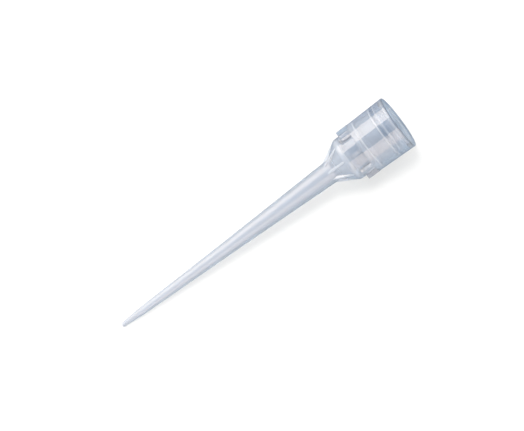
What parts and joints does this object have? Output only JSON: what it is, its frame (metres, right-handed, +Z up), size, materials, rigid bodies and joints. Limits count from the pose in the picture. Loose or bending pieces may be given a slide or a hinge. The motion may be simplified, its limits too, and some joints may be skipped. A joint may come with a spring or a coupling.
{
  "type": "pipette tip",
  "caption": "Moulded translucent pipette tip for a multichannel head: open stepped hub, ribbed collar, gusseted shoulder and long tapered shank with a fine orifice.",
  "frame": {"origin": "on the surface the tip lies on, in the middle of its lying length and width", "axes": "+X along the lying tip from its cut end to its mouth, +Z up. The tip's own axis lies in the XZ plane and rises 4.95 degrees towards the mouth, because the hub is wider than the cut end"},
  "size_m": [0.0448, 0.0076, 0.0079],
  "materials": {
    "polypropylene": "natural polypropylene, injection moulded against a polished tool: clear to slightly milky, cool grey-blue cast, semi-gloss"
  },
  "bodies": {
    "root": {"pipette_tip": "polypropylene"}
  },
  "joints": []
}
